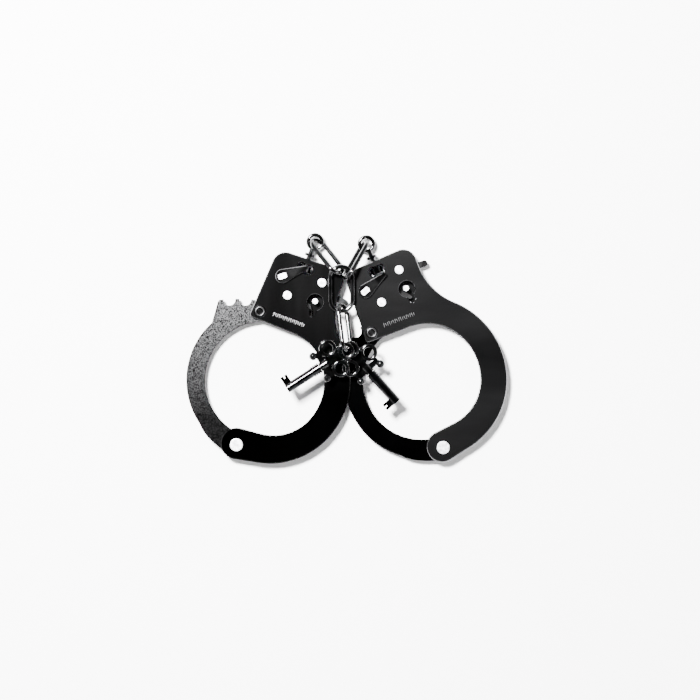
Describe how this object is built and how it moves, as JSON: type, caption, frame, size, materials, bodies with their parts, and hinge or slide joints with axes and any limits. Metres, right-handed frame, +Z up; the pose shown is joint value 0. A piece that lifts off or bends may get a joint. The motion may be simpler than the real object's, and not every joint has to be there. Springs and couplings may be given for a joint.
{
  "type": "handcuffs",
  "caption": "Chain-linked ratchet handcuffs in black nickel, lying flat, with ornate barrel keys hung on the chain.",
  "frame": {"origin": "centre of the footprint, at the lowest point of the pair", "axes": "+X from the left cuff to the right cuff, +Y from the wrist openings to the chain, +Z up out of the front faces"},
  "size_m": [0.1534, 0.1104, 0.0162],
  "materials": {
    "left_case": "mirror-bright black nickel plate",
    "right_case": "black nickel plate, satin gloss",
    "left_arm": "black nickel plate with a fine grain",
    "right_arm": "black nickel plate with a fine grain",
    "silver_pin": "bright steel, faced flat",
    "lever_plate": "polished black nickel plate",
    "lock_steel": "grey pressed steel",
    "spring_steel": "bright spring wire",
    "chain_wire": "polished dark wire",
    "key_metal": "polished dark cast metal"
  },
  "bodies": {
    "left_case": {"left_rear_cheek": "left_case", "left_front_cheek": "left_case", "left_pivot_rivet": "silver_pin", "left_pawl_rivet": "silver_pin", "left_stop_rivet": "silver_pin", "left_key_post": "silver_pin", "left_pawl_spring": "spring_steel"},
    "left_arm": {"left_ratchet_arm": "left_arm"},
    "left_pawl": {"left_pawl": "lock_steel"},
    "left_lever": {"left_lock_lever": "lever_plate", "left_lever_shaft": "silver_pin", "left_lock_cam": "lock_steel"},
    "left_swivel": {"left_swivel": "chain_wire"},
    "right_case": {"right_rear_cheek": "right_case", "right_front_cheek": "right_case", "right_pivot_rivet": "silver_pin", "right_pawl_rivet": "silver_pin", "right_stop_rivet": "silver_pin", "right_key_post": "silver_pin", "right_pawl_spring": "spring_steel"},
    "right_arm": {"right_ratchet_arm": "right_arm"},
    "right_pawl": {"right_pawl": "lock_steel"},
    "right_lever": {"right_lock_lever": "lever_plate", "right_lever_shaft": "silver_pin", "right_lock_cam": "lock_steel"},
    "right_swivel": {"right_swivel": "chain_wire"},
    "link_left": {"link_left": "chain_wire"},
    "link_centre": {"link_centre": "chain_wire"},
    "link_right": {"link_right": "chain_wire"},
    "link_keys": {"link_keys": "chain_wire"},
    "left_key": {"left_key_bow": "key_metal", "left_key_barrel": "key_metal"},
    "right_key": {"right_key_bow": "key_metal", "right_key_barrel": "key_metal"}
  },
  "joints": [
    {"name": "left_arm_swing", "type": "hinge", "parent": "left_case", "child": "left_arm", "pos_m": [-0.05262, -0.04612, 0.00326], "axis": [0, 0, 1], "range_deg": [-6.3, 150]},
    {"name": "left_pawl_lift", "type": "hinge", "parent": "left_case", "child": "left_pawl", "pos_m": [-0.02828, 0.02519, 0.00326], "axis": [0, 0, 1], "range_deg": [-8.2, 1], "deforming": ["left_pawl_spring"]},
    {"name": "left_lever_turn", "type": "hinge", "parent": "left_case", "child": "left_lever", "pos_m": [-0.03058, 0.03431, 0.00326], "axis": [0, 0, 1], "range_deg": [-20.2, 0]},
    {"name": "left_swivel_spin", "type": "hinge", "parent": "left_case", "child": "left_swivel", "pos_m": [-0.01505, 0.05086, 0.00326], "axis": [0.3567, 0.9342, 0], "range_deg": [-20, 2]},
    {"name": "right_arm_swing", "type": "hinge", "parent": "right_case", "child": "right_arm", "pos_m": [0.0461, -0.04748, 0.00326], "axis": [0, 0, 1], "range_deg": [-31.5, 150]},
    {"name": "right_pawl_lift", "type": "hinge", "parent": "right_case", "child": "right_pawl", "pos_m": [0.01672, 0.0219, 0.00326], "axis": [0, 0, 1], "range_deg": [-16.2, 0], "deforming": ["right_pawl_spring"]},
    {"name": "right_lever_turn", "type": "hinge", "parent": "right_case", "child": "right_lever", "pos_m": [0.00892, 0.02717, 0.00326], "axis": [0, 0, 1], "range_deg": [0, 20.2]},
    {"name": "right_swivel_spin", "type": "hinge", "parent": "right_case", "child": "right_swivel", "pos_m": [0.00947, 0.04985, 0.00326], "axis": [-0.3567, 0.9342, 0], "range_deg": [-2, 20]},
    {"name": "chain_left_swing", "type": "hinge", "parent": "left_case", "child": "link_left", "pos_m": [-0.01505, 0.05086, 0.00326], "axis": [0, 0, 1], "range_deg": [0, 20]},
    {"name": "chain_centre_swing", "type": "hinge", "parent": "link_left", "child": "link_centre", "pos_m": [-0.00376, 0.0364, 0.00886], "axis": [0, 0, 1], "range_deg": [0, 12]},
    {"name": "chain_right_swing", "type": "hinge", "parent": "link_centre", "child": "link_right", "pos_m": [-0.00126, 0.036, 0.00886], "axis": [0, 0, 1], "range_deg": [0, 8]},
    {"name": "right_cuff_swing", "type": "hinge", "parent": "link_right", "child": "right_case", "pos_m": [0.00947, 0.04985, 0.00326], "axis": [0, 0, 1], "range_deg": [0, 30]},
    {"name": "key_link_swing", "type": "hinge", "parent": "link_centre", "child": "link_keys", "pos_m": [-0.00206, 0.0188, 0.00886], "axis": [0, 0, 1], "range_deg": [0, 8]},
    {"name": "left_key_swing", "type": "hinge", "parent": "link_keys", "child": "left_key", "pos_m": [-0.00037, -0.0013, 0.01262], "axis": [0, 0, 1], "range_deg": [-8, 8]},
    {"name": "right_key_swing", "type": "hinge", "parent": "link_keys", "child": "right_key", "pos_m": [0.0018, -0.00079, 0.01055], "axis": [0, 0, 1], "range_deg": [-8, 8]}
  ]
}
